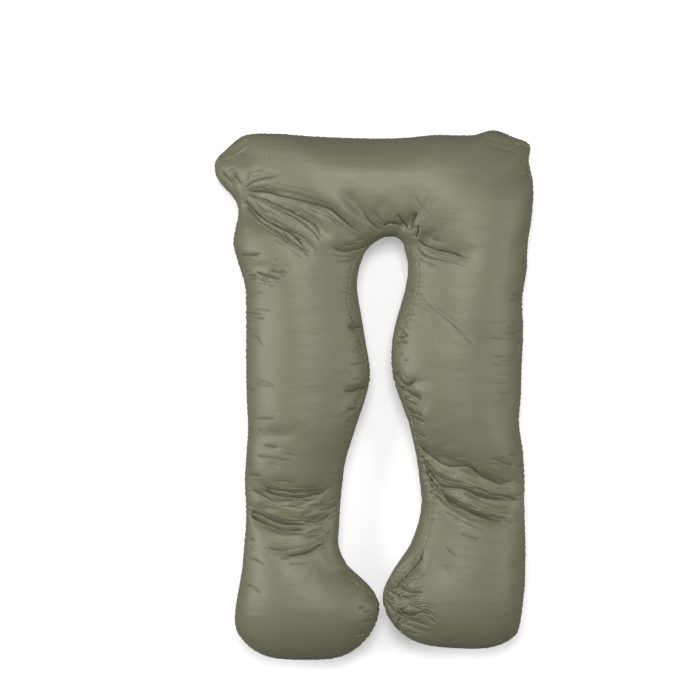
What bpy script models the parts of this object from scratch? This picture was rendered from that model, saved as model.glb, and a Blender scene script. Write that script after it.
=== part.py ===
"""A U-shaped body pillow in smooth olive cloth, lying on its back with its face up.

Two U-shaped panels are sewn together round their edge and filled, so the pillow is one crowned, filled
solid. The closed bar of the U points along +Y, the two feet along -Y, and the face along +Z. The origin is
on the floor, under the middle of the pillow. Metres.

The solid is lofted. SECTIONS runs round the U from the left foot, over the closed bar, to the right foot.
Each section is a line across the pillow, from the outer seam to the inner seam, and the face swells up
above it and the back swells down below it. FOLDS then presses the main folds into the face.
"""

from collections import namedtuple

import bmesh
import bpy
import numpy as np

MM = 0.001

# Driving dimensions.
SEAM_HEIGHT = 0.080  # of the edge seam above the floor
BACK_DEPTH = 0.106  # how far the back would swell below the seam if the floor let it
FLOOR_ROUNDING = 0.012  # over which the back curves into its flat contact patch
FULLNESS = 0.44  # 0.5 makes the cross-section an ellipse, and less makes it plumper
FOLD_FADE = 0.5  # the share of the full swell below which a fold fades out towards the seam
FOOT_ROUNDING = 0.125  # the length over which a foot swells from its end seam to its full height
SEAM_INSET = 0.004  # how far the stitches draw the seam in
EAR_DROOP = 0.040  # how far the seam of a wholly empty corner hangs
BOW_POWER = 3.6  # how square a foot's end is in plan
STEPS_ACROSS = 24  # faces across the face, and half as many across the back

# One row for each section, in millimetres: the outer and the inner seam point, the bow of the line between
# them (forwards, the way the rows run), the height of the crown above the seam, how empty the outer corner
# is (1 where it is full), and the pitch of the loft up to the next row.
Section = namedtuple("Section", "outer_x outer_y inner_x inner_y bow crown ear pitch")
SECTIONS = [
    # The left foot.
    Section(-374, -650, -8, -652, -74, 100, 1.0, 9),
    Section(-381, -617, 10, -617, -62, 101, 1.0, 18),
    Section(-376, -561, 16, -564, -46, 103, 1.0, 24),
    Section(-368, -517, -10, -520, -34, 99, 1.0, 22),
    Section(-360, -468, -64, -471, -28, 88, 1.0, 17),
    # The left leg, from its ankle up.
    Section(-354, -400, -92, -415, -30, 75, 1.0, 14),
    Section(-349, -320, -91, -345, -34, 67, 1.0, 14),
    Section(-353, -240, -86, -265, -32, 72, 1.0, 16),
    Section(-349, -165, -76, -185, -20, 88, 1.0, 20),
    Section(-344, -90, -50, -95, -8, 101, 1.0, 26),
    Section(-348, 0, -21, -10, 0, 103, 1.0, 30),
    Section(-349, 74, -8, 52, 0, 104, 1.0, 30),
    Section(-349, 150, -14, 110, 0, 104, 1.0, 30),
    Section(-349, 225, -24, 163, 0, 104, 1.0, 24),
    Section(-352, 298, -31, 210, 0, 104, 1.0, 20),
    # The left shoulder, where the face is drawn in above the leg.
    Section(-370, 360, -38, 250, 0, 105, 1.0, 15),
    Section(-384, 412, -43, 286, 0, 105, 1.0, 13),
    Section(-378, 457, -42, 323, 0, 104, 1.0, 12),
    Section(-371, 492, -33, 361, 0, 104, 1.05, 11),
    Section(-374, 521, -18, 394, 0, 104, 1.1, 11),
    Section(-390, 547, -2, 411, 0, 105, 1.2, 12),
    Section(-413, 571, 14, 422, 0, 106, 1.3, 13),
    Section(-435, 603, 25, 428, 0, 108, 1.4, 13),
    Section(-437, 642, 34, 431, 0, 110, 1.45, 15),
    Section(-406, 676, 40, 432, 0, 111, 1.4, 17),
    Section(-357, 711, 44, 432, 0, 111, 1.2, 25),
    # The closed bar.
    Section(-283, 714, 48, 432, 0, 109, 1.0, 34),
    Section(-174, 707, 53, 432, 0, 107, 1.0, 34),
    Section(-64, 702, 57, 431, 0, 105, 1.0, 34),
    Section(73, 702, 62, 430, 0, 105, 1.0, 34),
    Section(182, 711, 66, 427, 0, 107, 1.0, 32),
    Section(272, 711, 70, 424, 0, 109, 1.1, 20),
    # The right shoulder, with its empty corner.
    Section(330, 727, 73, 421, 0, 110, 1.3, 15),
    Section(387, 711, 75, 419, 0, 111, 1.45, 13),
    Section(432, 688, 78, 415, 0, 111, 1.5, 14),
    Section(428, 645, 81, 408, 0, 110, 1.35, 20),
    Section(437, 583, 83, 399, 0, 107, 1.1, 24),
    Section(435, 506, 87, 383, 0, 105, 1.0, 24),
    Section(422, 412, 92, 356, 0, 104, 1.0, 24),
    Section(419, 340, 91, 322, 0, 104, 1.0, 26),
    # The right leg, down to its ankle.
    Section(407, 265, 80, 268, 0, 104, 1.0, 28),
    Section(410, 183, 59, 200, 0, 104, 1.0, 30),
    Section(406, 85, 47, 120, 2, 104, 1.0, 28),
    Section(403, -5, 52, 50, 6, 103, 1.0, 22),
    Section(398, -75, 70, -8, 12, 101, 1.0, 18),
    Section(409, -150, 92, -63, 20, 92, 1.0, 14),
    Section(414, -222, 105, -112, 24, 78, 1.0, 13),
    Section(414, -285, 117, -165, 26, 71, 1.0, 13),
    Section(415, -348, 125, -225, 26, 71, 1.0, 15),
    Section(417, -405, 131, -290, 26, 77, 1.0, 18),
    # The right foot.
    Section(416, -460, 120, -355, 26, 86, 1.0, 18),
    Section(415, -505, 94, -418, 28, 95, 1.0, 18),
    Section(412, -542, 50, -480, 32, 102, 1.0, 18),
    Section(408, -578, 24, -537, 36, 103, 1.0, 18),
    Section(403, -614, 32, -590, 40, 102, 1.0, 14),
    Section(394, -656, 64, -640, 46, 100, 1.0, 9),
]

# One row for each main fold of the face, in millimetres: its two ends, how far its middle bends to the left
# of the line between them, its width, and its height, which is negative for a trough.
Fold = namedtuple("Fold", "from_x from_y to_x to_y bend width height")
FOLDS = [
    # The fan of folds that is drawn in to the left shoulder's edge.
    Fold(-356, 572, -252, 602, 8, 26, -8),
    Fold(-352, 562, -34, 438, 30, 32, -11),
    Fold(-352, 552, -114, 424, 18, 30, -11),
    Fold(-352, 544, -174, 389, -6, 34, -12),
    Fold(-352, 530, -300, 446, -6, 28, -9),
    Fold(-366, 588, -398, 622, 0, 30, -8),
    # Folds that run in to the crotch.
    Fold(-80, 552, 10, 440, -8, 36, -9),
    Fold(-130, 397, -20, 410, -14, 32, -8),
    Fold(62, 446, 112, 496, -6, 28, -9),
    Fold(118, 424, 268, 370, 6, 32, -10),
    Fold(110, 400, 216, 364, 4, 28, -6),
    Fold(104, 560, 162, 470, 8, 36, -6),
    # The left leg.
    Fold(-346, 344, -250, 336, 4, 28, -6),
    Fold(-70, 188, -30, 188, 0, 24, -7),
    Fold(-92, 8, -14, 16, -6, 28, -9),
    Fold(-350, -112, -180, -118, 10, 40, -6),
    Fold(-346, -146, -190, -158, 6, 36, -5),
    Fold(-300, -172, -210, -182, -4, 28, -6),
    Fold(-318, -254, -126, -250, -28, 32, -13),
    Fold(-338, -322, -176, -362, -14, 30, -14),
    Fold(-186, -346, -108, -322, -6, 30, -7),
    Fold(-240, -446, -130, -404, -10, 28, -9),
    Fold(-288, -420, -222, -430, 0, 26, -5),
    # The right leg.
    Fold(126, 280, 256, 156, 2, 30, -6),
    Fold(142, 222, 180, 142, 0, 30, -4),
    Fold(326, 168, 412, 172, 0, 28, -6),
    Fold(92, 26, 132, 38, 0, 24, -7),
    Fold(84, 14, 134, -20, 0, 26, -8),
    Fold(96, -22, 138, -44, 0, 24, -6),
    Fold(124, -134, 406, -244, -24, 34, -11),
    Fold(146, -208, 402, -294, -24, 32, -13),
    Fold(138, -230, 382, -352, -26, 30, -12),
    # The gathered inner corner of the right foot.
    Fold(128, -448, 54, -538, -14, 34, -12),
    Fold(52, -548, 180, -636, -24, 32, -10),
    Fold(58, -538, 120, -552, 0, 26, -8),
]

NODE = "pillow"

# The way round one face of the back, in steps of the face's grid. Between its corners it keeps only the
# points that lie on the seam.
BACK_FACE_RING = [(0, 0), (0, 1), (0, 2), (1, 2), (2, 2), (2, 1), (2, 0), (1, 0)]

CLOTH_COLOUR = (0.235, 0.230, 0.155, 1.0)  # olive, as linear light
CLOTH_ROUGHNESS = 0.48


def clear_scene():
    for thing in list(bpy.data.objects):
        bpy.data.objects.remove(thing)


def cloth_material():
    material = bpy.data.materials.new("olive_cloth")
    material.use_nodes = True
    shader = material.node_tree.nodes["Principled BSDF"]
    shader.inputs["Base Color"].default_value = CLOTH_COLOUR
    shader.inputs["Roughness"].default_value = CLOTH_ROUGHNESS
    shader.inputs["Metallic"].default_value = 0.0
    shader.inputs["Sheen Weight"].default_value = 0.3
    return material


def stations():
    """The sections with smooth steps between them: an array of rows, and each row's distance along the U.

    The number of steps is even, because the back takes every second row.
    """
    rows = np.array(SECTIONS, float)
    rows[:, :6] *= MM
    pitch = rows[:, 7] * MM
    outer, inner = rows[:, 0:2], rows[:, 2:4]
    lengths = 0.5 * np.linalg.norm(np.diff(outer, axis=0), axis=1)
    lengths += 0.5 * np.linalg.norm(np.diff(inner, axis=0), axis=1)
    at = np.concatenate([[0.0], np.cumsum(lengths)])
    slopes = tangents(at, rows)
    made, places = [], []
    for k, length in enumerate(lengths):
        outer_length = np.linalg.norm(outer[k + 1] - outer[k])
        steps = 2 * max(1, round(max(length, outer_length) / pitch[k] / 2))
        for step in range(steps):
            made.append(hermite(rows, slopes, at, k, step / steps))
            places.append(at[k] + length * step / steps)
    made.append(rows[-1])
    places.append(at[-1])
    return np.array(made), np.array(places)


def tangents(at, rows):
    """The slope of every column at every row, from the parabola through it and its two neighbours."""
    gaps = np.diff(at)[:, None]
    rises = np.diff(rows, axis=0) / gaps
    inside = (rises[1:] * gaps[:-1] + rises[:-1] * gaps[1:]) / (gaps[:-1] + gaps[1:])
    return np.vstack([rises[:1], inside, rises[-1:]])


def hermite(rows, slopes, at, k, t):
    """The row a share t of the way from row k to the next."""
    gap = at[k + 1] - at[k]
    return (
        (2 * t**3 - 3 * t**2 + 1) * rows[k]
        + (t**3 - 2 * t**2 + t) * gap * slopes[k]
        + (3 * t**2 - 2 * t**3) * rows[k + 1]
        + (t**3 - t**2) * gap * slopes[k + 1]
    )


def foot_swell(places):
    """How far each station has swelled to its full height, from 0 at the two end seams to 1."""
    from_end = np.minimum(places, places[-1] - places)
    share = np.clip(from_end / FOOT_ROUNDING, 0, 1)
    return (share * (2 - share)) ** FULLNESS


def plan(rows, across):
    """The X and Y of every point: rows by shares across, from the outer seam to the inner."""
    outer, inner = rows[:, None, 0:2], rows[:, None, 2:4]
    line = inner - outer
    width = np.linalg.norm(line, axis=2, keepdims=True)
    forwards = np.stack([-line[..., 1], line[..., 0]], axis=2) / width
    share = across[None, :, None]
    bow = rows[:, None, 4:5] * (1 - np.abs(2 * share - 1) ** BOW_POWER)
    return outer + line * share + forwards * bow


def profile(rows, across):
    """The height of the cross-section at each share across, from 0 at the seams to 1 at the crown."""
    skewed = across[None, :] ** rows[:, 6:7]
    return (4 * skewed * (1 - skewed)) ** FULLNESS


def fold_relief(x, y):
    """How far the folds raise the face at each point."""
    relief = np.zeros_like(x)
    for row in FOLDS:
        fold = Fold(*(value * MM for value in row))
        run = np.array([fold.to_x - fold.from_x, fold.to_y - fold.from_y])
        length = np.hypot(*run)
        along = ((x - fold.from_x) * run[0] + (y - fold.from_y) * run[1]) / length**2
        aside = ((y - fold.from_y) * run[0] - (x - fold.from_x) * run[1]) / length
        taper = np.clip(4 * along * (1 - along), 0, 1) ** 0.5
        aside -= fold.bend * 4 * along * (1 - along)
        relief += fold.height * taper * np.exp(-((2 * aside / fold.width) ** 2))
    return relief


def rest_on_floor(z):
    """Heights below the floor pressed flat onto it, with a smooth curve into the flat."""
    near = np.clip((z + FLOOR_ROUNDING) / (2 * FLOOR_ROUNDING), 0, 1)
    return np.where(z > FLOOR_ROUNDING, z, FLOOR_ROUNDING * near**2)


def draw_in_seams(points, rows):
    """Moves the edge points of a grid towards the filling, as the stitches draw them in."""
    across = rows[:, 2:4] - rows[:, 0:2]
    across *= SEAM_INSET / np.linalg.norm(across, axis=1, keepdims=True)
    points[:, 0, :2] += across
    points[:, -1, :2] -= across
    points[[0, -1], :, 1] += SEAM_INSET  # the end seams of both feet face along -Y


def grids():
    """The points of the face and of the back, as arrays of rows by columns by X, Y and Z.

    The last lines put the middle of the pillow at X and Y of 0.
    """
    rows, places = stations()
    across = (1 - np.cos(np.pi * np.arange(STEPS_ACROSS + 1) / STEPS_ACROSS)) / 2
    xy = plan(rows, across)
    swell = foot_swell(places)[:, None] * profile(rows, across)
    droop = EAR_DROOP * (rows[:, 6:7] - 1) * (1 - across[None, :]) ** 2
    seam = SEAM_HEIGHT - droop
    relief = fold_relief(xy[..., 0], xy[..., 1]) * np.clip(swell / FOLD_FADE, 0, 1)
    face = np.dstack([xy, seam + rows[:, 5:6] * swell + relief])
    back = np.dstack([xy, rest_on_floor(seam - BACK_DEPTH * swell)])
    draw_in_seams(face, rows)
    draw_in_seams(back, rows)
    plan_points = face[..., :2].reshape(-1, 2)
    middle = (plan_points.min(axis=0) + plan_points.max(axis=0)) / 2
    face[..., :2] -= middle
    back[..., :2] -= middle
    return face, back


def pillow_mesh():
    """The face, and the coarser back with every second row and column, sewn together round their edge."""
    face, back = grids()
    last_row, last_column = face.shape[0] - 1, face.shape[1] - 1
    bm = bmesh.new()
    front = {(i, j): bm.verts.new(point) for i, row in enumerate(face) for j, point in enumerate(row)}
    rear = {(i, j): vert for (i, j), vert in front.items() if i in (0, last_row) or j in (0, last_column)}
    for i in range(2, last_row, 2):
        for j in range(2, last_column, 2):
            rear[i, j] = bm.verts.new(back[i, j])
    for i in range(last_row):
        for j in range(last_column):
            bm.faces.new([front[i, j], front[i + 1, j], front[i + 1, j + 1], front[i, j + 1]])
    for i in range(0, last_row, 2):
        for j in range(0, last_column, 2):
            ring = [(i + down, j + along) for down, along in BACK_FACE_RING]
            bm.faces.new([rear[place] for place in ring if place in rear])
    bmesh.ops.recalc_face_normals(bm, faces=bm.faces)
    mesh = bpy.data.meshes.new(NODE)
    bm.to_mesh(mesh)
    bm.free()
    mesh.shade_smooth()
    return mesh


def main():
    clear_scene()
    pillow = bpy.data.objects.new(NODE, pillow_mesh())
    pillow.data.materials.append(cloth_material())
    bpy.context.scene.collection.objects.link(pillow)


main()
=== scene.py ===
"""The looks of a U-shaped body pillow, laid out as a small Blender add-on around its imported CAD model.

The pillow lies on its back. Its cover is two panels of smooth olive cloth over a soft filling, joined by one
seam that runs round the whole outline. The folds are pressed in where the photograph shows them, with finer
lines beside the long ones. A simulation puffs up the cloth between them. The seam is drawn in, puckered and
stitched last.
"""

import math
from collections import namedtuple

import bmesh
import bpy
import numpy as np
from bpy.props import FloatProperty, FloatVectorProperty, IntProperty, PointerProperty
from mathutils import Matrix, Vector
from mathutils.bvhtree import BVHTree
from mathutils.kdtree import KDTree


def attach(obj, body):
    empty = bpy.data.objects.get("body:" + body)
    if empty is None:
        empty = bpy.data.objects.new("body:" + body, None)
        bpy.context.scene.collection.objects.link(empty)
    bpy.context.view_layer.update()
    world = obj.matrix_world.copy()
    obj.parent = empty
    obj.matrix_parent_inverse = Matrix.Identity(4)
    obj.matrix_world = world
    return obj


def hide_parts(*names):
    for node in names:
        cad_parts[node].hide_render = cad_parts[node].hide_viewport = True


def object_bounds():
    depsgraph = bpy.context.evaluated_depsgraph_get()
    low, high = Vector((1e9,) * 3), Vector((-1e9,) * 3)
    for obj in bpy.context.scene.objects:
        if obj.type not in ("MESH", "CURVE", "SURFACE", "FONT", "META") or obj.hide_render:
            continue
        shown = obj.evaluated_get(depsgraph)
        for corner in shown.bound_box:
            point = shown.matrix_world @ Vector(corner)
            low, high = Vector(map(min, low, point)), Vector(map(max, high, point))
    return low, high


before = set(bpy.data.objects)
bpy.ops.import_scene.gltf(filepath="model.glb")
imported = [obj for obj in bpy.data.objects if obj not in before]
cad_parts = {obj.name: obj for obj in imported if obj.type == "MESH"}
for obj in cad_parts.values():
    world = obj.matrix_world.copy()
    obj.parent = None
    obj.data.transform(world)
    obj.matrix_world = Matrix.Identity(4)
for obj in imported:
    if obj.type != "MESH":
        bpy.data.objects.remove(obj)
CAD_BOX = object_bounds()

bl_info = {
    "name": "Body pillow",
    "version": (1, 0, 0),
    "blender": (4, 5, 0),
    "location": "3D View > Sidebar > Body pillow",
    "description": "Builds the cover, seam and stage of a U-shaped body pillow",
    "category": "Object",
}

MM = 0.001
BODY = "root"
PILLOW_NODE = "pillow"

# The photograph's camera, which looks straight down on the pillow as it lies.
IMAGE_SIZE = 700
CAMERA_PLACE = Vector((-0.0639, 0.1208, 4.08))
LENS = 75.2
SENSOR_WIDTH = 36.0

# The soft lights, which are turned towards the pillow's middle: the place of each and its width. The floor's
# half width, and how much it glows, so that it stays as pale as a studio's.
LIGHTS = {
    "left": ((-4.0, 0.2, 2.6), 2.2),
    "right": ((4.0, 0.2, 2.6), 2.2),
    "top": ((0.0, 1.3, 4.0), 1.6),
}
FLOOR_HALF = 40.0
FLOOR_GLOW = 0.36

# How often the smooth form is fitted to the CAD pillow's points, and the share of the miss that each round
# mends.
FIT_ROUNDS = 4
FIT_SHARE = 0.8

# The height of the seam round the pillow's side, and the heights that are searched for the place where the
# side stands out furthest.
SEAM_HEIGHT = 0.080
SEAM_HEIGHTS = np.linspace(0.035, 0.115, 17)

# The least height at which a fold shows on the face. The simulated cloth is held still below the resting
# height, and it ends a little lower, where the pillow lies on the surface.
LOWEST_FOLD = 0.035
RESTING_HEIGHT = 0.030
CLOTH_END_HEIGHT = 0.020

# A fold moves only the cloth that faces up at least this much. It fades out over the last part of its route,
# from this share of its length on.
LEAST_FACING_UP = -0.3
FADE_FROM = 0.75

# How far a fold's trough reaches, in its widths, and how far its narrow line reaches, in the reach of the
# slope above it. Past the ends of its route it fades out between these shares of that reach.
TROUGH_REACH = 3
LINE_REACH = 6
PAST_ENDS = (0.1, 0.5)

# How round the bottom of a fold's narrow line is, in millimetres. How far painted shade darkens the cloth
# beside it, as a share of the reach of the line's slopes, and at most. Where the lip's middle lies and how
# wide it is, in the reach of the slope below. How far the cloth leans over the line, as a share of its
# depth.
LINE_ROUNDING = 0.8
PAINTED_SHADE_WIDTH = 0.65
PAINTED_SHADE_REACH = 0.008
LIP_PLACE, LIP_WIDTH = 2.2, 1.3
LEAN = 0.35

# How far a fold wanders from its route, in millimetres, and over what length, and how uneven its depth is.
WANDER, WANDER_LENGTH = 0.9, 0.06
UNEVEN_DEPTH, UNEVEN_LENGTH = 0.25, 0.05

# A fold this long has finer lines beside it, at about these distances, all in pixels of the photograph.
LONG_ROUTE_PX = 27
ROUTE_STEP_PX = 3
COMPANION_OFFSETS_PX = (-9.0, -5.0, 5.0, 9.0)

# The distance from place to place along the seam, and how far the seam and its puckers move the cloth.
SEAM_STEP = 0.004
SEAM_REACH = 0.07

# The puckers beside the seam: the distance from one to the next, their widths, the most that they slant, and
# their depths and lengths as shares of the most. How far the cloth is raised between them and how much lower
# it lies on them, in depths.
PUCKER_PITCH = (0.007, 0.019)
PUCKER_WIDTH_MM = (2.6, 4.2)
PUCKER_SLANT = 0.45
PUCKER_DEPTHS = (0.25, 1.0)
PUCKER_LENGTHS = (0.35, 1.0)
BETWEEN_PUCKERS, PUCKER_DROP = 0.45, 1.45

# The raised edges of the seam's groove: their height in the groove's depths, and then how far from it their
# middle lies and how wide they are, in its widths.
EDGE_HEIGHT, EDGE_PLACE, EDGE_WIDTH = 0.20, 2.6, 1.5

# How far a stitch's ends are sunk and its middle is raised, in thicknesses of the thread.
STITCH_SUNK, STITCH_RAISED = -0.9, 0.7

# The kinds of fold at which the simulated cloth is held, how firmly, and between which shares of a fold's
# length it is let go. How wide the held strips beside the folds and the seam are, and where each ends.
HELD_KINDS = ("deep", "soft")
FOLD_HOLD = 0.9
LET_GO = (0.6, 1.0)
HOLD_WIDTH = 0.005
FOLD_HOLD_REACH, SEAM_HOLD_REACH = 0.010, 0.012

# The share of the slack that the cloth has on average, how uneven it is, and over what length.
USUAL_SLACK, UNEVEN_SLACK, SLACK_LENGTH = 0.75, 0.25, 0.25

# A kind of fold, in millimetres: the broad trough that the cloth sinks into, and the narrow line at its
# bottom, with the reach of its slow slope above and of its quick slope below. The lip that the cloth makes
# beyond the quick slope is a share of the line's depth. The taper is the share of its length over which it
# starts, and the tone is how strongly painted shade darkens the cloth's colour on its line.
FoldKind = namedtuple("FoldKind", "trough_depth trough_width line_depth above below lip taper tone")
FOLD_KINDS = {
    "deep": FoldKind(2.6, 12.0, 6.8, 4.0, 1.7, 0.20, 0.08, 1.0),
    "sharp": FoldKind(1.2, 9.0, 4.4, 3.2, 1.5, 0.24, 0.12, 0.9),
    "fine": FoldKind(0.0, 0.0, 1.9, 2.4, 1.4, 0.24, 0.35, 0.4),
    "soft": FoldKind(4.0, 18.0, 0.6, 7.0, 5.0, 0.10, 0.50, 0.0),
    "broad": FoldKind(6.0, 55.0, 0.0, 0.0, 0.0, 0.00, 0.30, 0.0),
}
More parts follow.
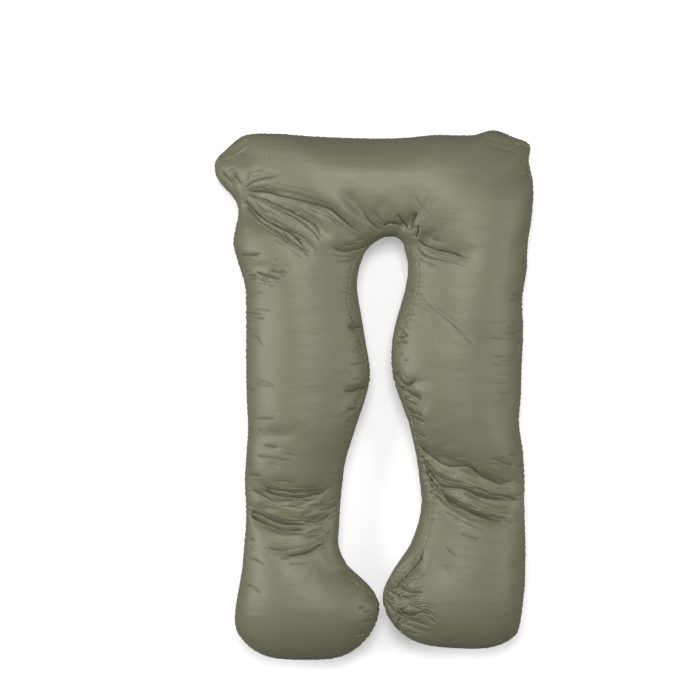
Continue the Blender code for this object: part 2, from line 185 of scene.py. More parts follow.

# A fold: its kind, its depth as a share of the kind's, and its route over the face, read in pixels of
# the photograph, from the end where it starts deepest. A share below zero raises the cloth. Each row holds
# the kind, the share and then the places of the route, as pixels across and down.
Fold = namedtuple("Fold", "kind share route_px")
FOLD_ROWS = (
    # The fan of folds drawn in to the left shoulder's edge.
    ("deep", 1, (244, 191), (266, 192), (283, 195.5), (302, 200), (328, 208), (340, 217), (353, 228.5),
        (366, 236)),
    ("deep", 0.8, (246, 194.5), (265, 198.5), (272, 202), (284, 207), (302, 217), (315, 225), (320, 233.5),
        (327, 240)),
    ("sharp", 0.7, (284, 211), (297, 217.5), (307, 225), (316, 235), (323, 244)),
    ("deep", 1, (244, 200), (254, 210.5), (266, 219.5), (282, 228.5), (294, 235.5), (302, 244), (311, 253)),
    ("sharp", 0.7, (282, 230.5), (290, 238.5), (298.5, 245), (305.5, 250), (312, 253.5)),
    ("sharp", 0.8, (290, 232), (302, 237), (307, 240.5), (313.5, 247), (320, 253.5)),
    ("sharp", 0.9, (245, 203.5), (252, 212), (260, 220), (268.5, 226), (278.5, 232), (287, 238),
        (295, 243.5)),
    ("sharp", 0.9, (245, 190), (250, 184), (257, 180.5), (267, 178), (279, 175)),
    ("fine", 1, (252, 189.5), (260, 188.5), (267, 189)),
    ("fine", 1.2, (251, 201.5), (261, 209), (272, 213)),
    ("sharp", 0.7, (242, 183.5), (237, 177), (231, 171)),
    ("fine", 1.3, (248, 182), (248.5, 175)),
    ("sharp", 0.9, (233.5, 188.5), (228.5, 178.5), (220, 170)),
    ("fine", 1.4, (238.5, 187), (232, 180), (229.5, 172)),
    # The left ear.
    ("sharp", 0.7, (220, 158.5), (230, 150), (242, 143.5), (253.5, 138.5)),
    ("sharp", 0.6, (222, 162), (233.5, 157), (243.5, 151), (250, 148)),
    ("fine", 0.8, (268.5, 148.5), (270, 160)),
    # The left side below the fan.
    ("sharp", 0.8, (240, 255.5), (247, 255), (257, 254.5), (263, 252)),
    ("fine", 1, (249.5, 253.5), (254, 255.5), (261.5, 257)),
    ("sharp", 1.1, (255.5, 272), (260, 273.5), (264.5, 275.5), (269.5, 276.5), (276, 278.5), (283, 279.5)),
    ("fine", 1, (259, 276), (263, 278.5), (270.5, 280)),
    ("sharp", 0.7, (270.5, 270.5), (275, 271), (279.5, 272.5), (284, 272), (288.5, 273.5)),
    ("fine", 1.3, (247, 277), (250.5, 275.5), (257, 276)),
    ("fine", 1.3, (247, 279.5), (253, 279), (258, 279.5)),
    ("fine", 0.6, (247, 294.5), (253.5, 293.5), (264, 293.5)),
    ("fine", 0.8, (247, 301.5), (251.5, 297), (260, 298)),
    ("fine", 1.6, (247, 308), (251.5, 302)),
    ("fine", 0.8, (250, 309), (260.5, 309.5), (273, 311.5)),
    ("fine", 1, (247, 312.5), (254, 313.5), (262, 315)),
    ("fine", 0.8, (247, 315), (254.5, 318), (267, 318.5)),
    ("soft", 0.35, (249.5, 323), (259.5, 324)),
    ("soft", 0.4, (247, 330.5), (257, 331.5), (263, 337)),
    ("fine", 0.9, (246, 337), (255, 336.5), (260.5, 343), (266, 349)),
    ("fine", 0.7, (250, 377), (261.5, 381.5), (278, 387)),
    ("fine", 0.6, (248, 381), (259.5, 385.5), (279, 386.5)),
    ("fine", 1.3, (246.5, 386.5), (251.5, 390), (255.5, 389.5)),
    # The bar's lower side, which stays high until close above the crotch.
    ("broad", -1, (325, 224), (345, 221), (370, 218), (400, 215), (425, 215), (440, 218)),
    # The crotch.
    ("soft", 1.3, (382, 233), (376, 228), (368, 220), (360, 210), (352, 202), (344, 194)),
    ("sharp", 0.9, (382, 231), (376, 227), (369, 220), (362, 211)),
    ("soft", 1.1, (372, 238), (362, 238), (350, 234), (342, 226), (330, 218)),
    ("sharp", 0.7, (384, 224), (378, 218), (372, 210)),
    ("sharp", 0.9, (372, 244), (364, 248), (354, 250), (342, 251), (330, 247)),
    ("fine", 1, (366, 250), (356, 254), (342, 256), (330, 253)),
    ("fine", 0.9, (358, 258), (348, 261), (334, 262)),
    ("deep", 1.3, (384, 227), (390, 224), (398, 225), (404, 228)),
    ("deep", 1.6, (407, 228), (405, 225), (400, 219), (396, 214)),
    ("deep", 1.6, (411, 230), (412, 224), (414, 218), (418, 212)),
    ("deep", 1.2, (416, 238), (418, 232), (417, 225)),
    ("soft", 0.9, (420, 231), (428, 235), (434, 239)),
    ("soft", 1, (418, 236), (430, 240), (442, 244)),
    ("deep", 1.4, (418, 240), (426, 245), (438, 249), (450, 252), (460, 255), (470, 259)),
    ("sharp", 1, (416, 248), (426, 255), (438, 259), (450, 261.5)),
    ("fine", 1.2, (430, 220), (428, 214), (420, 204), (414, 194)),
    # The right ear and edge.
    ("sharp", 0.9, (531, 151), (527, 146), (515, 144), (500, 141), (485, 138), (476, 136.5)),
    ("sharp", 0.7, (504, 136.5), (506, 132), (512.5, 136), (519, 139), (525, 142), (530, 142.5)),
    ("fine", 1.4, (499, 134), (502.5, 131.5), (506, 130)),
    ("fine", 1.3, (507.5, 137), (517.5, 136.5), (520, 139)),
    ("fine", 1.2, (520, 142.5), (524, 145), (529, 146.5)),
    ("sharp", 0.7, (529, 166), (525, 164), (519.5, 161.5)),
    ("fine", 1.3, (524, 160), (527.5, 167.5), (526, 172.5)),
    ("sharp", 0.5, (530, 176), (522.5, 174), (516, 170)),
    ("sharp", 0.7, (529, 259.5), (525.5, 261.5), (521, 263)),
    ("sharp", 0.4, (525, 304), (518, 297), (511, 294)),
    # The upper right leg.
    ("fine", 1.1, (418, 288), (421, 294), (430, 305), (438, 312), (445.5, 318.5), (453.5, 325), (463, 335),
        (473, 337.5)),
    ("fine", 1, (429, 301), (438, 308), (446.5, 314.5), (453.5, 320.5), (460, 325)),
    ("fine", 0.8, (423, 306.5), (425.5, 314.5), (429, 324.5), (434.5, 334.5), (438.5, 343.5)),
    ("fine", 1, (463, 336), (473, 346)),
    ("fine", 0.5, (479, 322), (510, 322.5)),
    ("fine", 0.6, (517, 339), (495, 338.5), (470, 337.5)),
    ("sharp", 0.4, (526, 330), (518, 332.5), (514, 334), (503, 333)),
    ("fine", 1, (514, 337), (517, 341), (519, 347), (517.5, 352.5)),
    ("fine", 0.9, (516, 333), (520, 340), (523, 345)),
    ("sharp", 0.4, (523.5, 305), (521, 302), (516, 299.5), (509, 302)),
    ("fine", 0.6, (524, 357.5), (508, 357), (486, 356.5)),
    ("fine", 0.4, (520, 362), (490, 361)),
    ("fine", 0.5, (514, 365.5), (488, 365)),
    ("fine", 0.5, (518, 375), (494, 374.5)),
    ("fine", 0.5, (514, 384), (488, 383.5)),
    ("fine", 0.5, (522, 394), (493, 393.5)),
    # Creases at the right leg's inner edge.
    ("fine", 1, (407, 290.5), (414.5, 290.5)),
    ("fine", 1.2, (404, 314.5), (407, 314), (410, 316)),
    ("fine", 1, (404, 321.5), (407, 322)),
    ("sharp", 0.7, (403, 332), (402, 329), (400, 328)),
    ("sharp", 0.7, (397, 344), (400.5, 339), (404, 336), (407, 333.5)),
    ("sharp", 0.5, (400, 338.5), (405, 336.5), (409, 335)),
    ("sharp", 0.7, (392, 347), (397, 343), (401, 341.5), (409, 343)),
    ("fine", 1.2, (397, 350), (399.5, 353.5), (403.5, 355.5)),
    ("fine", 1, (402, 360), (409, 360)),
    # Wedges along the inner edge of the right leg, above its knee.
    ("deep", 0.9, (394, 372), (399, 378), (403, 383), (407, 385), (410.5, 384.5), (414.5, 381.5),
        (418, 380.5)),
    ("sharp", 0.9, (396, 384), (400, 388), (404, 391), (407, 393)),
    ("deep", 0.8, (420.5, 399.5), (416.5, 396.5), (412, 394.5), (407, 391), (402, 388)),
    ("sharp", 0.9, (403, 396), (406.5, 400), (412, 403), (419, 405.5)),
    ("deep", 0.8, (405, 405), (409, 411), (414.5, 413.5), (419, 415), (423, 417)),
    ("sharp", 0.9, (409.5, 415), (413.5, 418), (418.5, 420), (425.5, 423.5)),
    ("sharp", 0.8, (411, 419), (414.5, 427)),
    ("sharp", 0.8, (414, 431), (417, 434), (422, 436), (427, 438)),
    ("sharp", 0.8, (415, 435.5), (419, 439.5)),
    # The right knee.
    ("broad", 1.3, (410, 446), (425, 458), (445, 472), (470, 482), (500, 490), (528, 495)),
    ("sharp", 0.8, (418.5, 445.5), (424.5, 451), (428, 454)),
    ("deep", 0.9, (416.5, 443.5), (425, 451), (433, 456.5), (441.5, 462.5), (451.5, 466), (463, 466),
        (471.5, 468.5), (478, 474), (486.5, 478.5), (494.5, 481.5), (501.5, 484), (511.5, 481.5),
        (518, 480)),
    ("soft", 0.6, (426.5, 443.5), (438, 451.5), (448, 458.5), (458, 461), (470, 463)),
    ("sharp", 0.7, (514.5, 466.5), (508, 465), (498, 461), (488, 458.5)),
    ("fine", 1, (506.5, 454), (511.5, 456), (521.5, 456.5)),
    ("fine", 0.8, (514.5, 466.5), (524.5, 468.5)),
    ("deep", 1, (420.5, 459), (426.5, 467.5), (433, 476.5), (439, 483.5), (444.5, 486), (453, 487.5),
        (463, 489), (471.5, 492.5), (478, 496), (486.5, 498), (494.5, 499), (504.5, 500.5), (514.5, 503)),
    ("sharp", 1, (419.5, 453.5), (424.5, 461.5), (431.5, 469), (437, 476), (443, 480), (449.5, 483.5)),
    ("sharp", 1, (518, 501), (511.5, 498.5), (501.5, 496.5), (491.5, 495.5), (486.5, 492.5), (479.5, 489),
        (469.5, 488.5)),
    ("sharp", 0.7, (429.5, 478.5), (438, 485), (446.5, 488.5), (454.5, 491)),
    ("sharp", 0.6, (463, 493.5), (474.5, 498.5), (484.5, 501.5)),
    ("deep", 1.1, (424, 468.5), (429, 476), (434.5, 483.5), (441.5, 491.5), (448, 499), (456.5, 504),
        (464.5, 508.5), (474.5, 513.5), (484.5, 517.5), (493, 520.5), (501.5, 521.5), (511.5, 522)),
    ("sharp", 0.8, (425.5, 478.5), (433, 486.5), (439.5, 493.5), (446.5, 499), (451.5, 503.5), (468, 511.5)),
    ("sharp", 0.7, (450.5, 498.5), (458, 502.5), (466.5, 506), (474.5, 508.5), (481.5, 510)),
    ("sharp", 0.8, (488, 516.5), (498, 518.5), (508, 519.5)),
    ("sharp", 0.7, (428, 491), (434.5, 494), (444.5, 500)),
    ("fine", 0.8, (524.5, 514), (511.5, 513.5)),
    ("fine", 0.8, (449.5, 516.5), (461.5, 523.5)),
    # Below the right knee.
    ("fine", 1, (457, 533), (468, 537), (482, 541)),
    ("fine", 1.3, (444, 546.5), (457, 558)),
    ("soft", 0.4, (440, 567), (446, 571), (450, 575)),
    # The gathered inner corner of the right foot.
    ("deep", 1, (395, 588.5), (399, 583.5), (402, 579.5), (407, 574), (411, 570), (415, 566.5), (419.5, 561),
        (422, 554), (425, 547)),
    ("sharp", 1, (392, 590), (391.5, 585), (392, 579), (392.5, 573.5)),
    ("sharp", 0.8, (393, 590), (394.5, 583), (397, 579.5)),
    ("sharp", 0.8, (391, 589), (389.5, 580), (388, 577)),
    ("sharp", 0.8, (389.5, 588), (387, 584), (385.5, 580)),
    ("deep", 0.8, (384.5, 586.5), (388, 589), (396, 593.5), (399, 596), (400.5, 600), (400, 604)),
    ("sharp", 0.9, (384, 593), (388, 596), (393, 601), (395, 604)),
    ("deep", 0.9, (384.5, 601), (393, 609), (398, 613), (404, 616.5), (415, 621.5), (422, 624),
        (434, 628.5)),
    ("deep", 0.9, (400.5, 609), (404, 614), (409, 616.5), (416, 614), (420, 612.5), (425, 612.5),
        (435, 616.5)),
    ("sharp", 1, (400, 588), (404, 589), (409, 591.5), (414, 593), (425, 591.5)),
    ("sharp", 0.9, (395, 587), (400, 586), (405, 589)),
    ("sharp", 0.9, (400, 595), (406, 597), (413, 596), (420, 594)),
    ("fine", 1.6, (407, 599), (410, 601), (415, 602), (421, 601.5)),
    ("fine", 1.4, (413, 604), (420, 604), (425, 604.5)),
    ("sharp", 0.8, (408, 603), (413, 606), (418, 609), (422, 611)),
    ("sharp", 0.8, (424, 609), (429, 612), (434, 616), (437, 621)),
    ("sharp", 0.7, (426, 615), (431, 620), (436, 624)),
    ("sharp", 0.9, (393, 613), (396, 616), (399, 619), (397, 624), (396.5, 628)),
    ("sharp", 0.7, (400, 621), (406, 624), (410, 627)),
    ("sharp", 0.7, (406, 631), (413, 634), (420, 634)),
    ("fine", 1.2, (408, 580), (413, 579), (419, 578)),
    # Above the left knee.
    ("fine", 1, (249, 418), (255, 419), (266, 418.5), (279.5, 419.5)),
    ("soft", 0.7, (248, 439), (255, 438), (264, 436.5), (275, 435.5), (288, 438), (296, 441.5)),
    ("fine", 1, (257, 429.5), (261.5, 433)),
    ("soft", 0.6, (251.5, 450), (259.5, 449.5), (270.5, 449), (283, 446.5)),
    ("sharp", 0.5, (255, 455.5), (267, 457), (274, 458), (279.5, 459.5), (295, 463)),
    ("fine", 1.2, (246, 465.5), (249.5, 464.5), (253, 466)),
    ("sharp", 0.6, (247, 474), (254, 475.5), (258.5, 476.5), (262, 479)),
    # The left knee.
    ("broad", 1.6, (240, 502), (262, 505), (285, 508), (310, 508), (335, 503), (345, 499)),
    ("soft", 0.6, (265.5, 480.5), (277, 483.5), (288.5, 486.5), (301.5, 487)),
    ("sharp", 1.4, (262, 486.5), (273, 490.5), (283, 492), (294, 493.5), (303, 493.5), (311, 491)),
    ("deep", 1.3, (263.5, 491), (274, 494), (283, 496.5), (293, 498), (303, 497.5), (311.5, 495),
        (320, 493.5), (326, 491), (331, 484.5)),
    ("sharp", 0.9, (248.5, 488.5), (263, 495), (274, 500.5), (286, 500.5), (297, 500), (308.5, 500.5),
        (317, 498), (325.5, 493.5)),
    ("sharp", 0.6, (289, 505), (297, 505), (304, 502), (311, 500.5)),
    ("fine", 1.2, (310, 504.5), (315.5, 506.5), (320, 505.5)),
    ("sharp", 0.6, (318.5, 510), (327, 509.5), (334, 506.5), (340, 503.5)),
    ("deep", 1.1, (250.5, 512), (260, 515.5), (268.5, 519.5), (277, 523), (285.5, 525), (294.5, 525.5),
        (308.5, 526.5)),
    ("deep", 1.3, (250.5, 515.5), (260, 520.5), (269.5, 524.5), (279.5, 528), (288.5, 529.5), (302, 529.5),
        (309, 528.5)),
    ("sharp", 0.9, (303, 522), (314.5, 522), (323, 519.5), (331.5, 514.5), (334.5, 513)),
    ("sharp", 0.6, (303, 535), (308.5, 533), (317, 530), (325.5, 527)),
    ("fine", 1.2, (324.5, 535), (331.5, 531.5)),
    ("fine", 1.2, (247, 504.5), (254.5, 508)),
    ("fine", 1.3, (248, 522), (250, 525.5)),
    # Below the left knee.
    ("fine", 1.3, (247, 536.5), (250.5, 539), (255, 541.5)),
    ("fine", 1.2, (248.5, 545.5), (251.5, 550)),
    ("sharp", 0.6, (269, 548.5), (274, 550), (279.5, 551), (290.5, 551)),
    ("sharp", 1.1, (326.5, 542), (324.5, 543.5), (317, 548), (308.5, 553), (297, 555.5), (283, 557)),
    ("fine", 1, (245, 557.5), (255, 560), (268, 566.5)),
    ("fine", 1, (238, 584), (250, 586.5), (258, 591.5), (264.5, 596.5)),
    # The inner side of the left ankle and foot.
    ("soft", 0.4, (324, 556.5), (313, 565)),
    ("soft", 0.4, (327.5, 563), (317.5, 572.5)),
    ("soft", 0.4, (331, 566.5), (326, 578)),
    ("soft", 0.4, (333.5, 563), (334, 583)),
    ("soft", 0.4, (339, 558), (341, 575)),
    ("soft", 0.5, (344, 563), (347.5, 573), (354, 583), (359, 586.5)),
    ("deep", 0.6, (376.5, 599), (370.5, 595), (365, 592)),
    ("fine", 1.3, (374, 611), (369, 611), (362.5, 613)),
    ("fine", 1.2, (365.5, 607), (357.5, 608.5)),
    ("fine", 1.3, (380, 619), (359, 624)),
    ("fine", 1.2, (370, 633), (352, 636)),
    # The inner side of the left leg.
    ("deep", 0.8, (363, 326.5), (357, 327), (352, 327.5), (347.5, 327.5)),
    ("fine", 1.2, (351.5, 328.5), (354.5, 329.5), (358, 330.5)),
    ("fine", 1.2, (354, 324), (351.5, 317), (349.5, 309)),
    ("sharp", 0.8, (360, 335.5), (360.5, 340), (359.5, 344)),
    ("fine", 1.2, (362, 331), (362, 341), (361.5, 351)),
    ("fine", 1.3, (367, 362.5), (361, 363), (354.5, 364), (348, 366)),
    ("fine", 1.3, (363.5, 366.5), (366.5, 371), (369.5, 374.5)),
    ("fine", 1.3, (371, 364.5), (369, 365.5), (366, 368)),
    ("fine", 1, (363.5, 375.5), (366.5, 373.5)),
    ("soft", 0.5, (345, 368), (349, 377), (353, 384)),
    ("deep", 0.9, (369, 384.5), (368, 386.5), (364.5, 388.5), (359, 389), (354.5, 391), (349, 391.5),
        (341.5, 391.5)),
    ("fine", 1.2, (358, 394.5), (360.5, 391.5), (363.5, 390)),
    ("sharp", 0.6, (363, 392.5), (359, 399.5), (354.5, 406)),
    ("sharp", 0.5, (357, 409), (352, 410), (346.5, 410)),
    ("fine", 1.2, (352, 421.5), (345.5, 423)),
)
FOLDS = tuple(Fold(kind, share, route) for kind, share, *route in FOLD_ROWS)

# Where the seam rises from the pillow's side on to its face, read in pixels of the photograph.
SEAM_RISES_PX = (
    ((401, 243), (410, 246), (415, 252), (418, 265), (418.5, 280), (417, 292), (413, 303),
        (410, 316), (403, 328), (395, 343)),
    ((391, 356), (392.5, 368), (394.5, 381), (398.5, 387), (401, 392), (403.5, 397), (405, 405.5),
        (408, 412), (410, 420), (413.5, 430), (415.5, 438), (419, 449), (422, 462), (425.5, 476),
        (429.5, 491), (431, 508), (430, 528), (424, 547), (414.5, 563), (401.5, 578), (394, 590),
        (397, 600), (398, 610), (396, 620), (404, 637), (412, 646)),
    ((371, 248), (358, 256), (352.5, 267), (347.5, 293), (348.5, 307), (352, 319), (358, 331), (361.5, 345),
        (365, 357), (370, 368)),
    ((371, 376), (369, 385), (366, 391), (361, 400), (357.5, 409), (354, 420), (349.5, 433), (346.5, 446)),
    ((342, 552), (347, 569), (354, 582), (360, 587), (370, 596), (378, 599)),
)

# A stretch of seam that is gathered more than the rest: its middle in pixels of the photograph, its half
# length, how many times as deep as usual its puckers are, and how far they run into the panels.
Gather = namedtuple("Gather", "middle_px half_length share reach")
GATHERS = (
    Gather((247, 320), 0.16, 2.2, 0.040),
    Gather((355, 370), 0.12, 2.4, 0.035),
    Gather((405, 380), 0.16, 2.6, 0.045),
    Gather((420, 480), 0.10, 2.2, 0.040),
    Gather((400, 600), 0.08, 3.0, 0.060),
    Gather((368, 600), 0.10, 2.4, 0.040),
    Gather((330, 657), 0.12, 2.0, 0.030),
    Gather((470, 650), 0.12, 2.0, 0.030),
    Gather((525, 480), 0.14, 1.8, 0.035),
    Gather((245, 500), 0.12, 1.8, 0.035),
    Gather((523, 300), 0.10, 2.0, 0.035),
    Gather((385, 245), 0.10, 1.8, 0.035),
)


# ---------------------------------------------------------------------------------------------- settings


class PillowCoverSettings(bpy.types.PropertyGroup):
    """Sizes and finish of the cover."""

    cloth_colour: FloatVectorProperty(
        name="Cloth colour", description="Olive of the cover cloth", subtype="COLOR", size=3,
        min=0, max=1, default=(0.178, 0.175, 0.110))
    mesh_size: FloatProperty(
        name="Mesh size", description="Distance between the points of the simulated cloth",
        unit="LENGTH", min=0.004, max=0.008, default=0.0055)
    slack: FloatProperty(
        name="Slack", description="Share by which the cloth is longer than the form that it covers",
        subtype="FACTOR", min=0, max=0.15, default=0.08)
    pressure: FloatProperty(
        name="Pressure", description="Outward push of the filling on the cloth", min=0, max=8, default=3.0)
    steps: IntProperty(
        name="Steps", description="Steps of the simulation that puffs the cloth up",
        min=4, max=24, default=14)
    most_moved: FloatProperty(
        name="Most moved", description="Furthest that the simulation may move a point of the cloth",
        unit="LENGTH", min=0, max=0.02, default=0.012)
    refined_reach: FloatProperty(
        name="Refined reach", description="Distance from a fold within which the cloth has more points",
        unit="LENGTH", min=0, max=0.02, default=0.010)
    most_triangles: IntProperty(
        name="Triangles", description="Most triangles that the finished cover has",
        min=50_000, max=198_000, default=194_000)
    # Painted shade: how much the cloth's colour is darkened at the bottom of a deep fold.
    painted_crease_shade_strength: FloatProperty(
        name="Crease tone", description="How much darker the cloth looks at the bottom of a deep fold",
        subtype="FACTOR", min=0, max=1, default=0.8)
    weave_pitch: FloatProperty(
        name="Weave pitch", description="Distance between the threads of the cloth",
        unit="LENGTH", min=0.0002, max=0.002, default=0.0007)


class PillowSeamSettings(bpy.types.PropertyGroup):
    """Sizes and finish of the seam that joins the two panels."""

    thread_colour: FloatVectorProperty(
        name="Thread colour", description="Colour of the sewing thread", subtype="COLOR", size=3,
        min=0, max=1, default=(0.150, 0.147, 0.093))
    groove_depth: FloatProperty(
        name="Groove depth", description="How far the seam draws the cloth in", unit="LENGTH",
        min=0, max=0.008, default=0.0014)
    groove_width: FloatProperty(
        name="Groove width", description="Half the width of the seam's groove", unit="LENGTH",
        min=0.001, max=0.01, default=0.0020)
    pucker_depth: FloatProperty(
        name="Pucker depth", description="Depth of the usual puckers beside the seam", unit="LENGTH",
        min=0, max=0.004, default=0.0017)
    pucker_reach: FloatProperty(
        name="Pucker reach", description="How far the usual puckers run into the panels", unit="LENGTH",
        min=0.005, max=0.06, default=0.026)
    stitch_pitch: FloatProperty(
        name="Stitch pitch", description="Distance from one stitch to the next", unit="LENGTH",
        min=0.002, max=0.01, default=0.0030)
    stitch_length: FloatProperty(
        name="Stitch length", description="Length of one stitch", unit="LENGTH",
        min=0.001, max=0.01, default=0.0024)
    thread_width: FloatProperty(
        name="Thread width", description="Thickness of the sewing thread", unit="LENGTH",
        min=0.0002, max=0.002, default=0.0004)


class PillowStageSettings(bpy.types.PropertyGroup):
    """The floor and the light."""

    floor_colour: FloatVectorProperty(
        name="Floor colour", description="Colour of the plain floor", subtype="COLOR", size=3,
        min=0, max=1, default=(0.95, 0.95, 0.95))
    left_power: FloatProperty(
        name="Left power", description="Power of the light from the left", unit="POWER",
        min=0, default=124.0)
    right_power: FloatProperty(
        name="Right power", description="Power of the light from the right", unit="POWER",
        min=0, default=66.0)
    top_power: FloatProperty(
        name="Top power", description="Power of the light beyond the pillow's closed end", unit="POWER",
        min=0, default=92.0)
    sky_strength: FloatProperty(
        name="Sky strength", description="Brightness of the light from all around", min=0, default=0.17)


# ---------------------------------------------------------------------------------------------- mesh helpers


def places(mesh):
    """The mesh's points as rows of an array."""
    values = np.empty(len(mesh.vertices) * 3, np.float32)
    mesh.vertices.foreach_get("co", values)
    return values.reshape(-1, 3).astype(float)


def move_to(mesh, rows):
    """Moves the mesh's points to the rows of an array."""
    mesh.vertices.foreach_set("co", rows.astype(np.float32).ravel())
    mesh.update()


def outward(mesh):
    """The direction out of the surface at each point."""
    values = np.empty(len(mesh.vertices) * 3, np.float32)
    mesh.vertex_normals.foreach_get("vector", values)
    return values.reshape(-1, 3).astype(float)


def unit(rows):
    """Rows of length one."""
    return rows / np.maximum(np.linalg.norm(rows, axis=-1, keepdims=True), 1e-12)


def finish_modifiers(piece):
    """Turns what the piece's modifiers make into its own mesh."""
    graph = bpy.context.evaluated_depsgraph_get()
    made = bpy.data.meshes.new_from_object(piece.evaluated_get(graph), depsgraph=graph)
    spent = piece.data
    piece.modifiers.clear()
    piece.data = made
    bpy.data.meshes.remove(spent)


def surface_of(mesh):
    """A tree of the mesh's faces, for finding places on it."""
    built = bmesh.new()
    built.from_mesh(mesh)
    tree = BVHTree.FromBMesh(built)
    built.free()
    return tree


def tree_of(rows):
    """A tree of the rows, for finding the nearest one."""
    tree = KDTree(len(rows))
    for index, row in enumerate(rows):
        tree.insert(row, index)
    tree.balance()
    return tree


def smooth_line(points, spacing):
    """Places about the spacing apart on one smooth curve through the points."""
    given = np.array(points, float)
    padded = np.concatenate([2 * given[:1] - given[1:2], given, 2 * given[-1:] - given[-2:-1]])
    line = []
    for before, here, there, after in zip(padded, padded[1:], padded[2:], padded[3:]):
        steps = max(1, round(np.linalg.norm(there - here) / spacing))
        for step in range(steps):
            t = step / steps
            slope = (there - before) * t
            bend = (2 * before - 5 * here + 4 * there - after) * t**2
            twist = (3 * here - before - 3 * there + after) * t**3
            line.append(here + 0.5 * (slope + bend + twist))
    line.append(given[-1])
    return np.array(line)


def uneven(rows, wavelength, seed):
    """A smooth uneven value from about -1 to 1 at each row, the same on every run."""
    rng = np.random.default_rng(seed)
    waves = unit(rng.normal(size=(5, 3))) * (2 * math.pi / wavelength) * rng.uniform(0.6, 1.5, (5, 1))
    return np.sin(rows @ waves.T + rng.uniform(0, 2 * math.pi, 5)).mean(axis=1) * 1.6


def fade(values, low, high):
    """0 below low, 1 above high, and smooth in between."""
    t = np.clip((values - low) / (high - low), 0, 1)
    return t * t * (3 - 2 * t)


# ---------------------------------------------------------------------------------------------- the form


def smooth_form(mesh_size):
    """The CAD pillow as an even, smooth mesh, which still passes through the CAD pillow's points."""
    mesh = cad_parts[PILLOW_NODE].data.copy()
    built = bmesh.new()
    built.from_mesh(mesh)
    bmesh.ops.remove_doubles(built, verts=built.verts, dist=0.01 * MM)
    bmesh.ops.join_triangles(
        built, faces=built.faces,
        angle_face_threshold=math.radians(40), angle_shape_threshold=math.radians(50))
    built.to_mesh(mesh)
    built.free()
    cover = bpy.data.objects.new("pillow_cover", mesh)
    bpy.context.scene.collection.objects.link(cover)
    rounded = cover.modifiers.new("rounded", "SUBSURF")
    rounded.levels = rounded.render_levels = 2
    wanted = places(mesh)
    for _ in range(FIT_ROUNDS):
        graph = bpy.context.evaluated_depsgraph_get()
        reached = places(cover.evaluated_get(graph).to_mesh())[:len(wanted)]
        move_to(mesh, places(mesh) + FIT_SHARE * (wanted - reached))
    finish_modifiers(cover)
    even = cover.modifiers.new("even", "REMESH")
    even.mode = "VOXEL"
    even.voxel_size = mesh_size
    finish_modifiers(cover)
    cover.data.materials.clear()
    return cover


def seen_place(surface, pixel):
    """Where the photograph's camera sees a pixel on the pillow, or None past its outline."""
    across, down = pixel
    width = SENSOR_WIDTH / LENS / IMAGE_SIZE
    sight = Vector(((across - IMAGE_SIZE / 2) * width, (IMAGE_SIZE / 2 - down) * width, -1))
    place = surface.ray_cast(CAMERA_PLACE, sight)[0]
    return place if place is not None and place.z > LOWEST_FOLD else None


def seen_line(surface, route_px, spacing_px=1.2):
    """A route of pixels laid on the pillow."""
    found = [seen_place(surface, pixel) for pixel in smooth_line(route_px, spacing_px)]
    return np.array([place for place in found if place is not None], float)


# ---------------------------------------------------------------------------------------------- the folds


def companions():
    """The fine lines that run beside the long folds."""
    rng = np.random.default_rng(11)
    made = []
    for fold in FOLDS:
        route = smooth_line(fold.route_px, ROUTE_STEP_PX)
        if fold.kind not in ("deep", "sharp") or len(route) * ROUTE_STEP_PX < LONG_ROUTE_PX:
            continue
        along = unit(np.gradient(route, axis=0))
        aside = np.stack([-along[:, 1], along[:, 0]], axis=1)
        for offset in COMPANION_OFFSETS_PX:
            first = int(rng.uniform(0.05, 0.6) * len(route))
            last = first + int(rng.uniform(0.3, 0.7) * len(route))
            moved = (route + aside * offset * rng.uniform(0.7, 1.3))[first:last + 1]
            if len(moved) > 3:
                made.append(Fold("fine", rng.uniform(0.5, 1.3), tuple(map(tuple, moved))))
    return made


def near_line(rows, line):
    """For each row: the way to the nearest place on the line, the line's direction there, and which share of
    the line's length lies before it."""
    starts, runs = line[:-1], np.diff(line, axis=0)
    lengths = np.linalg.norm(runs, axis=1)
    walked = np.concatenate([[0], np.cumsum(lengths)])
    ways, directions, shares = [], [], []
    for block in np.array_split(rows, max(1, len(rows) // 8000)):
        off = block[:, None] - starts
        t = np.clip((off * runs).sum(2) / lengths**2, 0, 1)
        way = runs * t[..., None] - off
        nearest = (way**2).sum(2).argmin(1)
        every = np.arange(len(block))
        ways.append(way[every, nearest])
        directions.append(runs[nearest] / lengths[nearest, None])
        shares.append((walked[nearest] + t[every, nearest] * lengths[nearest]) / walked[-1])
    return np.concatenate(ways), np.concatenate(directions), np.concatenate(shares)


def within_box(rows, line, reach):
    """Which rows lie in the line's box, made larger by the reach."""
    low, high = line.min(0) - reach, line.max(0) + reach
    chosen = np.flatnonzero((rows[:, 1] > low[1]) & (rows[:, 1] < high[1]))
    near = rows[chosen]
    return chosen[((near > low) & (near < high)).all(1)]


def facing_near(rows, normals, line, reach):
    """Which rows a fold can move: those in the box round its line that face up."""
    chosen = within_box(rows, line, reach)
    return chosen[normals[chosen, 2] > LEAST_FACING_UP]


def kept_along(kind, share):
    """How strong a fold is along its route, from its taper at the start to its slow end."""
    return fade(share, 0, kind.taper) * (1 - fade(share, FADE_FROM, 1.0))


def refine(mesh, lines, reach):
    """Splits the mesh's faces in four where they lie within reach of the lines."""
    tree = tree_of(np.concatenate([line for line in lines if len(line)]))
    built = bmesh.new()
    built.from_mesh(mesh)
    marked = [tree.find(vertex.co)[2] < reach for vertex in built.verts]
    edges = [edge for edge in built.edges if marked[edge.verts[0].index] and marked[edge.verts[1].index]]
    bmesh.ops.subdivide_edges(built, edges=edges, cuts=1, use_grid_fill=True)
    built.to_mesh(mesh)
    built.free()


